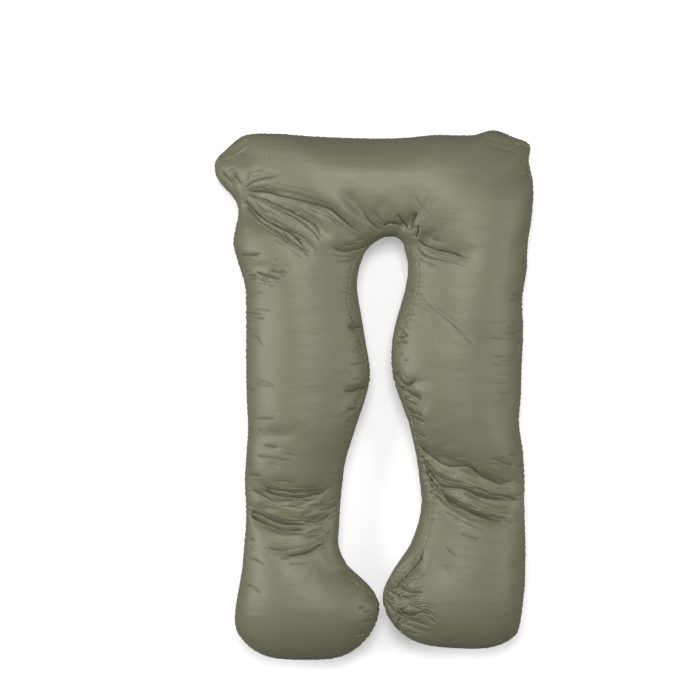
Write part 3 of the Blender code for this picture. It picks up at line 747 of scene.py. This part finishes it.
def press_fold(rows, normals, fold, line, seed, profile):
    """Moves the rows near one fold by its profile, which takes the distance from its line and how far its
    left side faces up the photograph."""
    kind = FOLD_KINDS[fold.kind]
    broad = profile is trough
    if len(line) < 3 or not (kind.trough_depth if broad else kind.line_depth):
        return
    reach = TROUGH_REACH * kind.trough_width if broad else LINE_REACH * kind.above
    chosen = facing_near(rows, normals, line, reach * MM)
    if not len(chosen):
        return
    way, direction, share = near_line(rows[chosen], line)
    normal = normals[chosen]
    left = unit(np.cross(normal, direction))
    distance = -(way * left).sum(1) / MM
    wander = WANDER * uneven(rows[chosen], WANDER_LENGTH, seed)
    beyond = np.linalg.norm(way + (distance * MM)[:, None] * left, axis=1)
    ends = kept_along(kind, share) * (1 - fade(beyond / reach / MM, *PAST_ENDS))
    unevenness = 1 + UNEVEN_DEPTH * uneven(rows[chosen], UNEVEN_LENGTH, seed + 1)
    strength = fold.share * ends * unevenness * MM
    rise, lean = profile(kind, distance + wander, 0.5 + 0.5 * left[:, 1])
    rows[chosen] += strength[:, None] * (rise[:, None] * normal + lean[:, None] * left)


def bump(distance, middle, width):
    """A smooth hump of height one."""
    return np.exp(-(((distance - middle) / width) ** 2))


def trough(kind, distance, left_up):
    """The broad trough of a fold."""
    return -kind.trough_depth * bump(distance, 0, kind.trough_width), np.zeros_like(distance)


def line_and_lip(kind, distance, left_up):
    """The narrow line of a fold. The cloth above it slopes down and leans over it, and the cloth below has a
    lip."""

    def above_on_left(x):
        far = np.sqrt(x**2 + LINE_ROUNDING**2) - LINE_ROUNDING
        slow, quick = np.exp(-far / kind.above), np.exp(-far / kind.below)
        lip = kind.lip * bump(x, -LIP_PLACE * kind.below, LIP_WIDTH * kind.below)
        return np.where(x > 0, -slow, -quick) + lip, -LEAN * bump(x, kind.above / 2, kind.above / 2)

    rise_left, lean_left = above_on_left(distance)
    rise_right, lean_right = above_on_left(-distance)
    rise = left_up * rise_left + (1 - left_up) * rise_right
    lean = left_up * lean_left - (1 - left_up) * lean_right
    return kind.line_depth * rise, kind.line_depth * lean


def press_folds(mesh, folds, lines, profile):
    """Presses one part of every fold into the mesh."""
    rows, normals = places(mesh), outward(mesh)
    for number, (fold, line) in enumerate(zip(folds, lines)):
        press_fold(rows, normals, fold, line, 10 * number, profile)
    move_to(mesh, rows)


def paint_crease_shade(mesh, folds, lines):
    """Stores painted shade for the cloth's colour: how near each point lies to the line of a fold, from 1 on
    the line to 0 away from it. The colour is darkened there as the shade in the crease would darken it."""
    rows, normals = places(mesh), outward(mesh)
    marks = np.zeros(len(rows))
    for fold, line in zip(folds, lines):
        kind = FOLD_KINDS[fold.kind]
        if not kind.tone or len(line) < 3:
            continue
        chosen = facing_near(rows, normals, line, PAINTED_SHADE_REACH)
        if not len(chosen):
            continue
        way, direction, share = near_line(rows[chosen], line)
        up = np.cross(normals[chosen], direction)
        up *= np.sign(up[:, 1:2])
        distance = -(way * up).sum(1) / MM
        beyond = np.linalg.norm(way, axis=1) - np.abs(distance) * MM
        width = np.where(distance > 0, kind.above, kind.below) * PAINTED_SHADE_WIDTH
        ends = kept_along(kind, share) * (1 - fade(beyond, 1 * MM, 5 * MM))
        # Painted shade, strongest on the fold's line, which darkens the cloth's colour as the shade in the
        # crease would.
        painted_shade = min(1, kind.tone * fold.share) * ends * np.exp(-((distance / width) ** 2))
        marks[chosen] = np.maximum(marks[chosen], painted_shade)
    crease_shade_layer = mesh.attributes.new("crease_mark", "FLOAT", "POINT")
    crease_shade_layer.data.foreach_set("value", marks.astype(np.float32))


# ---------------------------------------------------------------------------------------------- the seam


def side_loop(mesh, height):
    """The mesh's outline at a height, as places in order."""
    built = bmesh.new()
    built.from_mesh(mesh)
    whole = built.verts[:] + built.edges[:] + built.faces[:]
    bmesh.ops.bisect_plane(
        built, geom=whole, plane_co=(0, 0, height), plane_no=(0, 0, 1), clear_inner=True, clear_outer=True)
    built.verts.ensure_lookup_table()
    start = built.verts[0]
    edge = start.link_edges[0]
    vertex = edge.other_vert(start)
    loop = [start.co[:]]
    while vertex is not start:
        loop.append(vertex.co[:])
        edge = next(other for other in vertex.link_edges if other is not edge)
        vertex = edge.other_vert(vertex)
    built.free()
    return np.array(loop)


def even_loop(loop, spacing):
    """The closed loop with its places an even distance apart."""
    closed = np.concatenate([loop, loop[:1]])
    walked = np.concatenate([[0], np.cumsum(np.linalg.norm(np.diff(closed, axis=0), axis=1))])
    wanted = np.linspace(0, walked[-1], max(8, round(walked[-1] / spacing)), endpoint=False)
    return np.stack([np.interp(wanted, walked, closed[:, axis]) for axis in range(3)], axis=1)


def smoothed(loop, times):
    """The closed loop with each place drawn towards its neighbours."""
    for _ in range(times):
        loop = 0.5 * loop + 0.25 * (np.roll(loop, 1, axis=0) + np.roll(loop, -1, axis=0))
    return loop


def spliced(loop, rise):
    """The closed loop with its short stretch between the ends of a rise replaced by the rise."""
    first = np.linalg.norm(loop - rise[0], axis=1).argmin()
    loop = np.roll(loop, -first, axis=0)
    last = np.linalg.norm(loop - rise[-1], axis=1).argmin()
    if last <= len(loop) / 2:
        return np.concatenate([rise, loop[last + 1:]])
    return np.concatenate([loop[1:last], rise[::-1]])


def loop_directions(loop):
    """The direction of the closed loop at each of its places."""
    return unit(np.roll(loop, -1, axis=0) - np.roll(loop, 1, axis=0))


def widest_heights(surface, loop):
    """The loop with each place at the height where the pillow's side stands out furthest.

    The side is looked at from just outside it, and from nearer where another part of the pillow faces it.
    """
    along = loop_directions(loop)
    out = np.stack([along[:, 1], -along[:, 0], np.zeros(len(loop))], axis=1)
    enclosed = (loop[:, 0] * np.roll(loop[:, 1], -1) - loop[:, 1] * np.roll(loop[:, 0], -1)).sum()
    out *= np.sign(enclosed)
    heights = []
    for place, way in zip(loop, out):
        free = surface.ray_cast(Vector(place + way * 2 * MM), Vector(way))[3] or 1.0
        clear = min(0.03, 0.45 * free)
        found = []
        for height in SEAM_HEIGHTS:
            origin = Vector((*(place + way * clear)[:2], height))
            distance = surface.ray_cast(origin, Vector(-way))[3]
            if distance is not None:
                found.append((distance, abs(height - SEAM_HEIGHT), height))
        heights.append(min(found)[2] if found else SEAM_HEIGHT)
    lifted = loop.copy()
    lifted[:, 2] = heights
    return lifted


def seam_line(mesh, surface):
    """The seam's closed line round the pillow."""
    loop = even_loop(side_loop(mesh, SEAM_HEIGHT), SEAM_STEP)
    loop = widest_heights(surface, loop)
    loop[:, 2] = smoothed(loop, times=40)[:, 2]
    for rise_px in SEAM_RISES_PX:
        loop = spliced(loop, seen_line(surface, rise_px))
    loop = even_loop(smoothed(even_loop(loop, SEAM_STEP), times=6), SEAM_STEP)
    return laid_on(surface, loop)


def laid_on(surface, rows):
    """The rows moved to their nearest places on the surface."""
    return np.array([surface.find_nearest(Vector(row))[0] for row in rows], float)


# The seam's places in order, its direction and the length walked at each, its whole length, and how deep and
# how long its puckers are at each place.
Seam = namedtuple("Seam", "line along walked length gather reach")


def measured_seam(line, settings):
    """The seam's line with its direction, the length walked, and how it is gathered at each place."""
    steps = np.linalg.norm(np.roll(line, -1, axis=0) - line, axis=1)
    gather, reach = np.ones(len(line)), np.full(len(line), settings.pucker_reach)
    scale = (CAMERA_PLACE.z - SEAM_HEIGHT) * SENSOR_WIDTH / LENS / IMAGE_SIZE
    for stretch in GATHERS:
        across, down = [(pixel - IMAGE_SIZE / 2) * scale for pixel in stretch.middle_px]
        middle = (CAMERA_PLACE.x + across, CAMERA_PLACE.y - down)
        near = np.exp(-((np.linalg.norm(line[:, :2] - middle, axis=1) / stretch.half_length) ** 2))
        gather = np.maximum(gather, 1 + (stretch.share - 1) * near)
        reach = np.maximum(reach, settings.pucker_reach + (stretch.reach - settings.pucker_reach) * near)
    walked = np.concatenate([[0], np.cumsum(steps)[:-1]])
    return Seam(line, loop_directions(line), walked, steps.sum(), gather, reach)


def seam_places(rows, normals, seam, reach):
    """For the rows within reach of the seam: which they are, their nearest place on it, how far along it
    they lie, and how far to its left or right."""
    tree = tree_of(seam.line)
    chosen, nearest = [], []
    for index, row in enumerate(rows.tolist()):
        _, found, distance = tree.find(row)
        if distance < reach:
            chosen.append(index)
            nearest.append(found)
    chosen, nearest = np.array(chosen), np.array(nearest)
    off = rows[chosen] - seam.line[nearest]
    forward = (off * seam.along[nearest]).sum(1)
    across = np.linalg.norm(off - forward[:, None] * seam.along[nearest], axis=1)
    side = np.sign((off * np.cross(normals[chosen], seam.along[nearest])).sum(1))
    return chosen, nearest, seam.walked[nearest] + forward, across * side


def draw_in_seam(mesh, seam, settings):
    """Sinks the seam's groove and presses the puckers that run from it into both panels."""
    rows, normals = places(mesh), outward(mesh)
    chosen, nearest, walked, across = seam_places(rows, normals, seam, SEAM_REACH)
    rng = np.random.default_rng(7)
    marks = np.cumsum(rng.uniform(*PUCKER_PITCH, int(seam.length / PUCKER_PITCH[0])))
    marks = marks[marks < seam.length - PUCKER_PITCH[0]]
    depth = rng.uniform(*PUCKER_DEPTHS, len(marks))
    length = rng.uniform(*PUCKER_LENGTHS, len(marks))
    slant = rng.uniform(-PUCKER_SLANT, PUCKER_SLANT, len(marks))
    width = rng.uniform(*PUCKER_WIDTH_MM, len(marks)) * MM
    far = np.abs(across)
    middles = (marks[1:] + marks[:-1]) / 2
    pucker = np.searchsorted(middles, walked)
    pucker = np.searchsorted(middles, walked - slant[pucker] * far)
    aside = walked - slant[pucker] * far - marks[pucker]
    reach = seam.reach[nearest] * length[pucker]
    strength = settings.pucker_depth * seam.gather[nearest] * depth[pucker]
    run = np.exp(-((far / reach) ** 2)) * fade(far, 0.5 * MM, 5 * MM)
    on_pucker = np.exp(-np.abs(aside / width[pucker]) ** 1.4)
    puckered = (BETWEEN_PUCKERS - PUCKER_DROP * on_pucker) * strength * run
    groove_depth, groove_width = settings.groove_depth, settings.groove_width
    groove = -groove_depth * bump(far, 0, groove_width)
    edges = EDGE_HEIGHT * groove_depth * bump(far, EDGE_PLACE * groove_width, EDGE_WIDTH * groove_width)
    rows[chosen] += (puckered + groove + edges)[:, None] * normals[chosen]
    move_to(mesh, rows)


# ---------------------------------------------------------------------------------------------- the cloth


def upper_shell(cover):
    """A copy of the cover without the cloth that rests on the surface, and which of the cover's points each
    of its own is."""
    shell = bpy.data.objects.new("cloth_shell", cover.data.copy())
    bpy.context.scene.collection.objects.link(shell)
    kept = shell.data.attributes.new("kept", "INT", "POINT")
    kept.data.foreach_set("value", np.arange(len(shell.data.vertices), dtype=np.int32))
    built = bmesh.new()
    built.from_mesh(shell.data)
    resting = [vertex for vertex in built.verts if vertex.co.z < CLOTH_END_HEIGHT]
    bmesh.ops.delete(built, geom=resting, context="VERTS")
    built.to_mesh(shell.data)
    built.free()
    source = np.empty(len(shell.data.vertices), np.int32)
    shell.data.attributes["kept"].data.foreach_get("value", source)
    return shell, source


def weigh(piece, name, weights, levels=10):
    """A vertex group with the weights, in a few levels."""
    group = piece.vertex_groups.new(name=name)
    rounded = np.round(np.clip(weights, 0, 1) * levels).astype(int)
    for level in range(1, levels + 1):
        group.add(np.flatnonzero(rounded == level).tolist(), level / levels, "REPLACE")


def how_held(mesh, folds, lines, seam):
    """How firmly each point of the simulated cloth is held: where the pillow rests, at the folds and at the
    seam."""
    rows = places(mesh)
    held = (rows[:, 2] < RESTING_HEIGHT).astype(float)
    for fold, line in zip(folds, lines):
        if fold.kind in HELD_KINDS and len(line) > 2:
            near = within_box(rows, line, FOLD_HOLD_REACH)
            way, _, share = near_line(rows[near], line)
            hold = bump(np.linalg.norm(way, axis=1), 0, HOLD_WIDTH) * (1 - fade(share, *LET_GO))
            held[near] = np.maximum(held[near], FOLD_HOLD * hold)
    chosen, _, _, across = seam_places(rows, outward(mesh), seam, SEAM_HOLD_REACH)
    held[chosen] = np.maximum(held[chosen], bump(across, 0, HOLD_WIDTH))
    return held


def add_cloth(shell, settings):
    """Makes the shell a light cloth that the filling pushes outwards."""
    cloth = shell.modifiers.new("cloth", "CLOTH")
    cloth.settings.quality = 3
    cloth.settings.mass = 0.15
    cloth.settings.tension_stiffness = 10
    cloth.settings.compression_stiffness = cloth.settings.shear_stiffness = 5
    cloth.settings.bending_stiffness = 0.02
    cloth.settings.tension_damping = cloth.settings.compression_damping = cloth.settings.shear_damping = 2
    cloth.settings.bending_damping = 0.5
    cloth.settings.use_pressure = True
    cloth.settings.uniform_pressure_force = settings.pressure
    cloth.settings.vertex_group_mass = "held"
    cloth.settings.shrink_max = -settings.slack
    cloth.settings.vertex_group_shrink = "loose"
    cloth.settings.effector_weights.gravity = 0
    cloth.collision_settings.use_collision = False
    cloth.point_cache.frame_start, cloth.point_cache.frame_end = 1, settings.steps


def puff_cloth(cover, folds, lines, seam, settings):
    """Simulates the cover's cloth, which is held at its folds and its seam and is puffed up between them."""
    shell, source = upper_shell(cover)
    rows = places(shell.data)
    weigh(shell, "held", how_held(shell.data, folds, lines, seam))
    weigh(shell, "loose", USUAL_SLACK + UNEVEN_SLACK * uneven(rows, SLACK_LENGTH, seed=3))
    add_cloth(shell, settings)
    scene = bpy.context.scene
    for step in range(1, settings.steps + 1):
        scene.frame_set(step)
    graph = bpy.context.evaluated_depsgraph_get()
    puffed = places(shell.evaluated_get(graph).to_mesh())
    moved = puffed - rows
    far = np.linalg.norm(moved, axis=1)
    moved *= np.minimum(1, settings.most_moved / np.maximum(far, 1e-9))[:, None]
    whole = places(cover.data)
    whole[source] += moved
    move_to(cover.data, whole)
    bpy.data.objects.remove(shell)
    scene.frame_set(1)


def rest_on_surface(mesh):
    """Keeps the cloth above the surface that the pillow lies on."""
    rows = places(mesh)
    rows[:, 2] = np.maximum(rows[:, 2], CAD_BOX[0][2])
    move_to(mesh, rows)


def thin_out(cover, most_triangles):
    """Takes points out where the cloth is smooth, until the cover has few enough triangles."""
    triangles = sum(len(face.vertices) - 2 for face in cover.data.polygons)
    fewer = cover.modifiers.new("fewer", "DECIMATE")
    fewer.ratio = most_triangles / triangles
    finish_modifiers(cover)


# ---------------------------------------------------------------------------------------------- the finishes


class Value:
    """A number in a material's nodes. Arithmetic on it adds Math nodes."""

    def __init__(self, nodes, socket):
        self.nodes = nodes
        self.socket = socket

    def maths(self, operation, first, second):
        made = self.nodes.add("ShaderNodeMath", {"operation": operation}, {0: first, 1: second})
        return Value(self.nodes, made.outputs[0])

    def __add__(self, other):
        return self.maths("ADD", self, other)

    def __mul__(self, other):
        return self.maths("MULTIPLY", self, other)

    def __rsub__(self, other):
        return self.maths("SUBTRACT", other, self)

    def __pow__(self, other):
        return self.maths("POWER", self, other)

    __radd__ = __add__


class Finish:
    """A material whose nodes are made here."""

    def __init__(self, name):
        self.material = bpy.data.materials.new(name)
        self.material.use_nodes = True
        self.tree = self.material.node_tree
        self.shader = self.tree.nodes["Principled BSDF"]

    def add(self, kind, settings, sockets):
        """A node of that kind. Its settings are set first, then its sockets' values or links."""
        node = self.tree.nodes.new(kind)
        for name, value in settings.items():
            setattr(node, name, value)
        self.join(node, sockets)
        return node

    def join(self, node, sockets):
        """Sets or links a node's sockets."""
        for name, value in sockets.items():
            socket = node.inputs[name]
            if isinstance(value, Value):
                value = value.socket
            if isinstance(value, bpy.types.NodeSocket):
                self.tree.links.new(value, socket)
            else:
                socket.default_value = value

    def value(self, kind, settings, sockets, output=0):
        """One output of a new node, as a value to calculate with."""
        return Value(self, self.add(kind, settings, sockets).outputs[output])

    def stretched(self, place, x, y, z):
        """The place with its axes scaled."""
        return self.add("ShaderNodeMapping", {}, {"Vector": place, "Scale": (x, y, z)}).outputs[0]

    def noise(self, place, scale, detail=2.0, roughness=0.5):
        sockets = {"Vector": place, "Scale": scale, "Detail": detail, "Roughness": roughness}
        return self.value("ShaderNodeTexNoise", {}, sockets)

    def mix(self, factor, first, second):
        """A colour between two colours."""
        sockets = {"Factor": factor, 6: first, 7: second}
        return self.add("ShaderNodeMix", {"data_type": "RGBA"}, sockets).outputs[2]


def tinted(colour, share):
    """The colour made lighter or darker by a share, as a socket takes it."""
    return (*(channel * share for channel in colour), 1)


def cover_cloth(settings):
    """Smooth olive cloth: fine threads, a soft sheen, faint creasing, uneven colour, and painted shade that
    darkens the colour along the folds' lines.
    """
    finish = Finish("cover_cloth")
    coordinates = finish.add("ShaderNodeTexCoord", {}, {})
    place = coordinates.outputs["Object"]
    facing = finish.add("ShaderNodeSeparateXYZ", {}, {"Vector": coordinates.outputs["Normal"]}).outputs
    clouds = finish.noise(place, scale=3.5, detail=3.0)
    fibres = finish.noise(finish.stretched(place, 1.0, 2.6, 1.6), scale=420.0, roughness=0.6)
    shade = clouds * 0.65 + fibres * 0.35
    tone = finish.mix(shade, tinted(settings.cloth_colour, 0.90), tinted(settings.cloth_colour, 1.10))
    # Painted shade: along the folds' lines the colour is drawn towards a dark olive, in place of the shade
    # in the creases.
    crease_shade = finish.value("ShaderNodeAttribute", {"attribute_name": "crease_mark"}, {}, 2)
    tone = finish.mix(crease_shade * settings.painted_crease_shade_strength, tone, tinted(settings.cloth_colour, 0.15))
    threads = []
    for axis, direction in enumerate("XYZ"):
        scale = math.pi / 10 / settings.weave_pitch
        wave = finish.value(
            "ShaderNodeTexWave", {"bands_direction": direction},
            {"Vector": place, "Scale": scale, "Distortion": 0.6, "Detail": 1.0}, 1)
        threads.append(wave * (1 - Value(finish, facing[axis]) ** 2))
    weave = threads[0] + threads[1] + threads[2]
    crinkle = finish.noise(finish.stretched(place, 0.45, 1.5, 1.0), scale=15.0, detail=4.0)
    worn = finish.noise(place, scale=14.0)
    woven = finish.add("ShaderNodeBump", {}, {"Strength": 0.10, "Distance": 0.0002, "Height": weave})
    creased = finish.add(
        "ShaderNodeBump", {},
        {"Strength": 0.55, "Distance": 0.005, "Height": crinkle, "Normal": woven.outputs[0]})
    finish.join(finish.shader, {
        "Base Color": tone,
        "Roughness": 0.44 + worn * 0.08,
        "Metallic": 0.15,
        "Normal": creased.outputs[0],
        "Sheen Weight": 0.1,
        "Sheen Roughness": 0.45,
        "Specular IOR Level": 0.42,
    })
    return finish.material


def sewing_thread(settings):
    """Twisted thread in the cloth's own tone."""
    finish = Finish("sewing_thread")
    place = finish.add("ShaderNodeTexCoord", {}, {}).outputs["Object"]
    twist = finish.noise(place, scale=900.0)
    tone = finish.mix(twist, tinted(settings.thread_colour, 0.8), tinted(settings.thread_colour, 1.2))
    bumped = finish.add("ShaderNodeBump", {}, {"Strength": 0.4, "Distance": 0.0002, "Height": twist})
    finish.join(finish.shader, {
        "Base Color": tone,
        "Roughness": 0.5 + twist * 0.2,
        "Normal": bumped.outputs[0],
    })
    return finish.material


def floor_paint(colour):
    """Plain pale floor with hardly any mottling, which glows a little."""
    finish = Finish("floor_paint")
    place = finish.add("ShaderNodeTexCoord", {}, {}).outputs["Object"]
    tone = finish.mix(finish.noise(place, scale=2.0), tinted(colour, 0.995), tinted(colour, 1.005))
    finish.join(finish.shader, {
        "Base Color": tone,
        "Roughness": 0.9,
        "Specular IOR Level": 0.1,
        "Emission Color": (1, 1, 1, 1),
        "Emission Strength": FLOOR_GLOW,
    })
    return finish.material


# ---------------------------------------------------------------------------------------------- the stitches


def node_in(tree, kind, settings, sockets):
    """A geometry node with its settings, and its sockets' values or links."""
    node = tree.nodes.new(kind)
    for name, value in settings.items():
        setattr(node, name, value)
    for name, value in sockets.items():
        if isinstance(value, bpy.types.NodeSocket):
            tree.links.new(value, node.inputs[name])
        else:
            node.inputs[name].default_value = value
    return node.outputs


def stitch_tree():
    """Geometry nodes that lay a row of stitches along the edges of a mesh, whose points know the way out of
    the cloth."""
    tree = bpy.data.node_groups.new("seam_stitches", "GeometryNodeTree")
    face = tree.interface
    face.new_socket("Geometry", in_out="INPUT", socket_type="NodeSocketGeometry")
    for name in ("Pitch", "Length", "Thread"):
        face.new_socket(name, in_out="INPUT", socket_type="NodeSocketFloat")
    face.new_socket("Material", in_out="INPUT", socket_type="NodeSocketMaterial")
    face.new_socket("Geometry", in_out="OUTPUT", socket_type="NodeSocketGeometry")
    given = node_in(tree, "NodeGroupInput", {}, {})

    def times(value, factor):
        """The value times the factor."""
        return node_in(tree, "ShaderNodeMath", {"operation": "MULTIPLY"}, {0: value, 1: factor})[0]

    path = node_in(tree, "GeometryNodeMeshToCurve", {}, {"Mesh": given["Geometry"]})
    path = node_in(
        tree, "GeometryNodeResampleCurve", {"mode": "LENGTH"}, {"Curve": path[0], "Length": given["Pitch"]})
    out = node_in(tree, "GeometryNodeInputNamedAttribute", {"data_type": "FLOAT_VECTOR"}, {"Name": "out"})
    along = node_in(tree, "GeometryNodeInputTangent", {}, {})
    turned = node_in(tree, "FunctionNodeAlignRotationToVector", {"axis": "X"}, {"Vector": along[0]})
    turned = node_in(
        tree, "FunctionNodeAlignRotationToVector", {"axis": "Z", "pivot_axis": "X"},
        {"Rotation": turned[0], "Vector": out[0]})

    sunk = times(given["Thread"], STITCH_SUNK)
    raised = times(given["Thread"], STITCH_RAISED)
    start = node_in(tree, "ShaderNodeCombineXYZ", {}, {"X": times(given["Length"], -0.5), "Z": sunk})
    middle = node_in(tree, "ShaderNodeCombineXYZ", {}, {"Z": raised})
    end = node_in(tree, "ShaderNodeCombineXYZ", {}, {"X": times(given["Length"], 0.5), "Z": sunk})
    arch = node_in(
        tree, "GeometryNodeCurveQuadraticBezier", {},
        {"Resolution": 5, "Start": start[0], "Middle": middle[0], "End": end[0]})
    radius = times(given["Thread"], 0.5)
    ring = node_in(tree, "GeometryNodeCurvePrimitiveCircle", {}, {"Resolution": 6, "Radius": radius})
    thread = node_in(
        tree, "GeometryNodeCurveToMesh", {}, {"Curve": arch[0], "Profile Curve": ring[0], "Fill Caps": True})

    stitches = node_in(
        tree, "GeometryNodeInstanceOnPoints", {},
        {"Points": path[0], "Instance": thread[0], "Rotation": turned[0]})
    skew = node_in(
        tree, "FunctionNodeRandomValue", {"data_type": "FLOAT_VECTOR"},
        {"Min": (-0.05, -0.05, -0.16), "Max": (0.05, 0.05, 0.16), "Seed": 5})
    stitches = node_in(
        tree, "GeometryNodeRotateInstances", {}, {"Instances": stitches[0], "Rotation": skew[0]})
    real = node_in(tree, "GeometryNodeRealizeInstances", {}, {"Geometry": stitches[0]})
    smooth = node_in(tree, "GeometryNodeSetShadeSmooth", {}, {"Geometry": real[0]})
    painted = node_in(
        tree, "GeometryNodeSetMaterial", {}, {"Geometry": smooth[0], "Material": given["Material"]})
    node_in(tree, "NodeGroupOutput", {}, {"Geometry": painted[0]})
    return tree


def lay_seam_path(cover_mesh, seam):
    """Lays a closed row of edges along the seam on the finished cover. Its points know the way out of the
    cloth."""
    surface = surface_of(cover_mesh)
    found = [surface.find_nearest(Vector(place))[:2] for place in seam.line]
    mesh = bpy.data.meshes.new("seam_stitches")
    count = len(found)
    mesh.from_pydata([place for place, _ in found], [(i, (i + 1) % count) for i in range(count)], [])
    out = mesh.attributes.new("out", "FLOAT_VECTOR", "POINT")
    ways = smoothed(np.array([way for _, way in found], float), 3)
    out.data.foreach_set("vector", unit(ways).astype(np.float32).ravel())
    path = bpy.data.objects.new("seam_stitches", mesh)
    bpy.context.scene.collection.objects.link(path)


# ---------------------------------------------------------------------------------------------- operators


class BODYPILLOW_OT_cover(bpy.types.Operator):
    """Build the padded cover with its folds and its drawn-in seam"""

    bl_idname = "bodypillow.cover"
    bl_label = "Cover"

    def execute(self, context):
        settings, seaming = context.scene.pillow_cover, context.scene.pillow_seam
        cover = smooth_form(settings.mesh_size)
        surface = surface_of(cover.data)
        folds = [*FOLDS, *companions()]
        lines = [seen_line(surface, fold.route_px) for fold in folds]
        seam = measured_seam(seam_line(cover.data, surface), seaming)
        press_folds(cover.data, folds, lines, trough)
        puff_cloth(cover, folds, lines, seam, settings)
        finer = cover.modifiers.new("finer", "SUBSURF")
        finer.levels = finer.render_levels = 1
        finish_modifiers(cover)
        surface = surface_of(cover.data)
        lines = [seen_line(surface, fold.route_px) for fold in folds]
        narrow = [line for fold, line in zip(FOLDS, lines) if fold.kind != "broad"]
        refine(cover.data, [*narrow, seam.line], settings.refined_reach)
        # Paints shade into the cloth's colour along the folds' lines.
        paint_crease_shade(cover.data, folds, lines)
        press_folds(cover.data, folds, lines, line_and_lip)
        seam = measured_seam(laid_on(surface, seam.line), seaming)
        draw_in_seam(cover.data, seam, seaming)
        rest_on_surface(cover.data)
        thin_out(cover, settings.most_triangles)
        lay_seam_path(cover.data, seam)
        cover.data.shade_smooth()
        cover.data.materials.append(cover_cloth(settings))
        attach(cover, BODY)
        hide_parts(PILLOW_NODE)
        return {"FINISHED"}


class BODYPILLOW_OT_stitches(bpy.types.Operator):
    """Sew the row of stitches along the seam"""

    bl_idname = "bodypillow.stitches"
    bl_label = "Stitches"

    def execute(self, context):
        settings = context.scene.pillow_seam
        stitches = bpy.data.objects["seam_stitches"]
        tree = stitch_tree()
        rows = stitches.modifiers.new("stitches", "NODES")
        rows.node_group = tree
        given = {
            "Pitch": settings.stitch_pitch,
            "Length": settings.stitch_length,
            "Thread": settings.thread_width,
            "Material": sewing_thread(settings),
        }
        for item in tree.interface.items_tree:
            if item.in_out == "INPUT" and item.name in given:
                rows[item.identifier] = given[item.name]
        finish_modifiers(stitches)
        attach(stitches, BODY)
        return {"FINISHED"}


def add_light(scene, name, place, size, power):
    """A square soft light turned towards the pillow's middle."""
    lamp = bpy.data.lights.new(name, "AREA")
    lamp.size = size
    lamp.energy = power
    light = bpy.data.objects.new(name, lamp)
    light.location = place
    light.rotation_euler = (-Vector(place)).to_track_quat("-Z", "Y").to_euler()
    scene.collection.objects.link(light)


class BODYPILLOW_OT_stage(bpy.types.Operator):
    """Set the plain floor, the soft light and the photograph's camera"""

    bl_idname = "bodypillow.stage"
    bl_label = "Stage"

    def execute(self, context):
        settings, scene = context.scene.pillow_stage, context.scene
        mesh = bpy.data.meshes.new("floor")
        corners = [(x * FLOOR_HALF, y * FLOOR_HALF, 0) for x, y in ((-1, -1), (1, -1), (1, 1), (-1, 1))]
        mesh.from_pydata(corners, [], [(0, 1, 2, 3)])
        mesh.materials.append(floor_paint(settings.floor_colour))
        floor = bpy.data.objects.new("floor", mesh)
        floor.visible_diffuse = floor.visible_glossy = False
        scene.collection.objects.link(floor)

        for name, (place, size) in LIGHTS.items():
            add_light(scene, name, place, size, getattr(settings, f"{name}_power"))
        world = bpy.data.worlds.new("sky")
        world.use_nodes = True
        background = world.node_tree.nodes["Background"]
        background.inputs["Color"].default_value = (1, 1, 1, 1)
        background.inputs["Strength"].default_value = settings.sky_strength
        scene.world = world
        scene.view_settings.view_transform = "Standard"

        camera = bpy.data.objects.new("camera", bpy.data.cameras.new("camera"))
        camera.data.lens = LENS
        camera.data.sensor_width = SENSOR_WIDTH
        camera.location = CAMERA_PLACE
        scene.collection.objects.link(camera)
        scene.camera = camera
        return {"FINISHED"}


class BODYPILLOW_PT_panel(bpy.types.Panel):
    """The pillow's steps, in the order in which they run"""

    bl_idname = "BODYPILLOW_PT_panel"
    bl_label = "Body pillow"
    bl_space_type = "VIEW_3D"
    bl_region_type = "UI"
    bl_category = "Body pillow"

    def draw(self, context):
        for operator, settings in STEPS:
            box = self.layout.box()
            box.operator(operator.bl_idname)
            group = getattr(context.scene, settings)
            for name in group.bl_rna.properties.keys():
                if name not in ("rna_type", "name"):
                    box.prop(group, name)


STEPS = (
    (BODYPILLOW_OT_cover, "pillow_cover"),
    (BODYPILLOW_OT_stitches, "pillow_seam"),
    (BODYPILLOW_OT_stage, "pillow_stage"),
)
GROUPS = {
    "pillow_cover": PillowCoverSettings,
    "pillow_seam": PillowSeamSettings,
    "pillow_stage": PillowStageSettings,
}


def register():
    for group in GROUPS.values():
        bpy.utils.register_class(group)
    for operator, _ in STEPS:
        bpy.utils.register_class(operator)
    bpy.utils.register_class(BODYPILLOW_PT_panel)
    for name, group in GROUPS.items():
        setattr(bpy.types.Scene, name, PointerProperty(type=group))


def unregister():
    for name in GROUPS:
        delattr(bpy.types.Scene, name)
    bpy.utils.unregister_class(BODYPILLOW_PT_panel)
    for operator, _ in reversed(STEPS):
        bpy.utils.unregister_class(operator)
    for group in reversed(GROUPS.values()):
        bpy.utils.unregister_class(group)


def main():
    """Builds everything."""
    register()
    bpy.ops.bodypillow.cover()
    bpy.ops.bodypillow.stitches()
    bpy.ops.bodypillow.stage()


if __name__ == "__main__":
    main()
